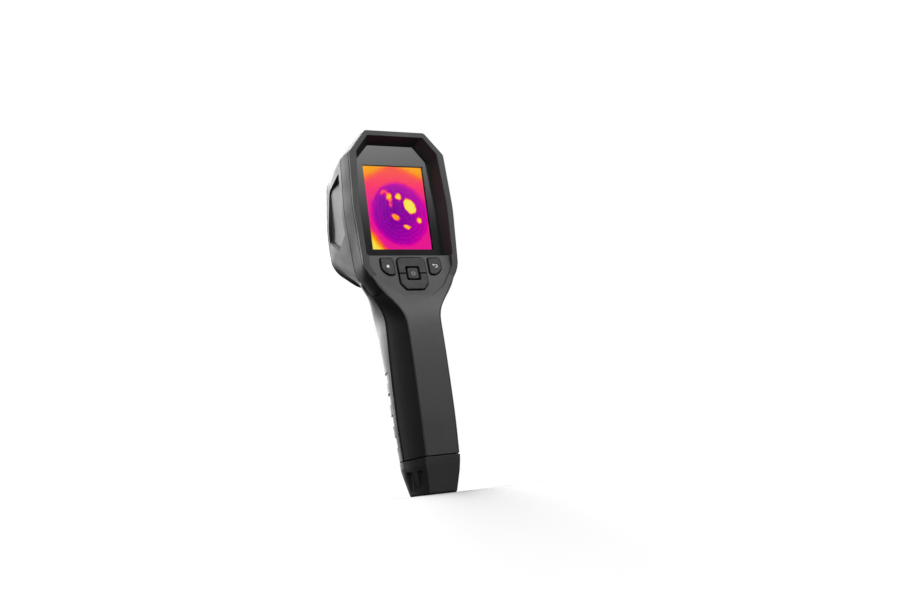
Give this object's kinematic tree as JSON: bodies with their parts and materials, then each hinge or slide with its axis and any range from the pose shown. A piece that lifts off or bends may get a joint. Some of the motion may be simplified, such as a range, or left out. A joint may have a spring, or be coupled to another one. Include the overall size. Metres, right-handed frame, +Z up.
{
  "type": "thermal imaging camera",
  "caption": "Pistol-shaped thermal imaging camera with a screen and keys on the back, a bevelled lens opening, and a trigger handle.",
  "frame": {"origin": "mouth of the tripod thread in the middle of the base", "axes": "+Z up the handle to the head, -Y the way the lens looks, +Y the way the screen faces, +X to the right for someone facing the lens"},
  "size_m": [0.0634, 0.0652, 0.208],
  "materials": {
    "shell": "dark charcoal moulded plastic with a fine spark texture",
    "bezel": "charcoal moulded plastic, slightly smoother than the shell",
    "panel": "smooth near-black plastic",
    "side_plate": "smooth dark plate with a soft sheen",
    "key_rubber": "soft black key rubber with light printed icons",
    "cover_glass": "clear cover glass with a black printed border",
    "display": "lit liquid crystal panel",
    "lens_coating": "dark infrared glass with a blue and pink coating",
    "lens_metal": "black anodised aluminium",
    "window": "small round cover window",
    "seal_rubber": "black seal rubber",
    "circuit_board": "green solder mask",
    "electronics": "black and grey component bodies",
    "inner_frame": "dark grey structural plastic",
    "battery": "foil-wrapped rechargeable cell",
    "lead": "insulated leads",
    "steel": "plain steel",
    "brass": "turned brass"
  },
  "bodies": {
    "housing": {"rear_cover": "shell", "rear_bezel": "bezel", "body_shell": "shell", "nose_ring": "shell", "end_cap": "shell", "sensor_panel": "panel", "side_panel_left": "side_plate", "side_panel_right": "side_plate", "display_glass": "cover_glass", "display_gasket": "seal_rubber", "display_module": "display", "display_flex": "electronics", "keypad_mat": "seal_rubber", "key_board": "circuit_board", "chassis": "inner_frame", "chassis_screws": "steel", "main_board": "circuit_board", "board_parts": "electronics", "lens_barrel": "lens_metal", "lens_retainer": "lens_metal", "ir_lens": "lens_coating", "lens_oring": "seal_rubber", "ir_core": "lens_metal", "ir_board": "circuit_board", "front_board": "circuit_board", "camera_window": "window", "camera_module": "electronics", "led_window": "window", "led_module": "electronics", "laser_module": "brass", "nose_seal": "seal_rubber", "battery_pack": "battery", "battery_cradle": "inner_frame", "battery_leads": "lead", "trigger_pin": "steel", "trigger_spring": "steel", "trigger_switch": "electronics", "tripod_insert": "brass", "cap_screws": "steel", "case_screws": "steel", "usb_connector": "steel", "buzzer": "electronics"},
    "menu_key": {"menu_key": "key_rubber"},
    "back_key": {"back_key": "key_rubber"},
    "nav_up_key": {"nav_up_key": "key_rubber"},
    "nav_down_key": {"nav_down_key": "key_rubber"},
    "power_key": {"power_key": "key_rubber"},
    "trigger": {"trigger": "shell"},
    "port_flap": {"port_cover": "seal_rubber"}
  },
  "joints": [
    {"name": "menu_key_press", "type": "slide", "parent": "housing", "child": "menu_key", "axis": [0, -0.9924, -0.123], "range_m": [0, 0.0006], "stiffness_N_per_m": 900, "springref_m": -0.0006},
    {"name": "back_key_press", "type": "slide", "parent": "housing", "child": "back_key", "axis": [0, -0.9924, -0.123], "range_m": [0, 0.0006], "stiffness_N_per_m": 900, "springref_m": -0.0006},
    {"name": "nav_up_key_press", "type": "slide", "parent": "housing", "child": "nav_up_key", "axis": [0, -0.9924, -0.123], "range_m": [0, 0.0006], "stiffness_N_per_m": 900, "springref_m": -0.0006},
    {"name": "nav_down_key_press", "type": "slide", "parent": "housing", "child": "nav_down_key", "axis": [0, -0.9924, -0.123], "range_m": [0, 0.0006], "stiffness_N_per_m": 900, "springref_m": -0.0006},
    {"name": "power_key_press", "type": "slide", "parent": "housing", "child": "power_key", "axis": [0, -0.9924, -0.123], "range_m": [0, 0.0006], "stiffness_N_per_m": 900, "springref_m": -0.0006},
    {"name": "trigger_pull", "type": "hinge", "parent": "housing", "child": "trigger", "pos_m": [0, -0.021, 0.1065], "axis": [1, 0, 0], "range_deg": [0, 5], "stiffness_Nm_per_rad": 0.35, "springref_deg": -14.32, "deforming": ["trigger_spring"]},
    {"name": "port_flap_hinge", "type": "hinge", "parent": "housing", "child": "port_flap", "pos_m": [0, -0.0105, 0.2076], "axis": [-1, 0, 0], "range_deg": [0, 100], "stiffness_Nm_per_rad": 0.002, "springref_deg": -22.92}
  ]
}
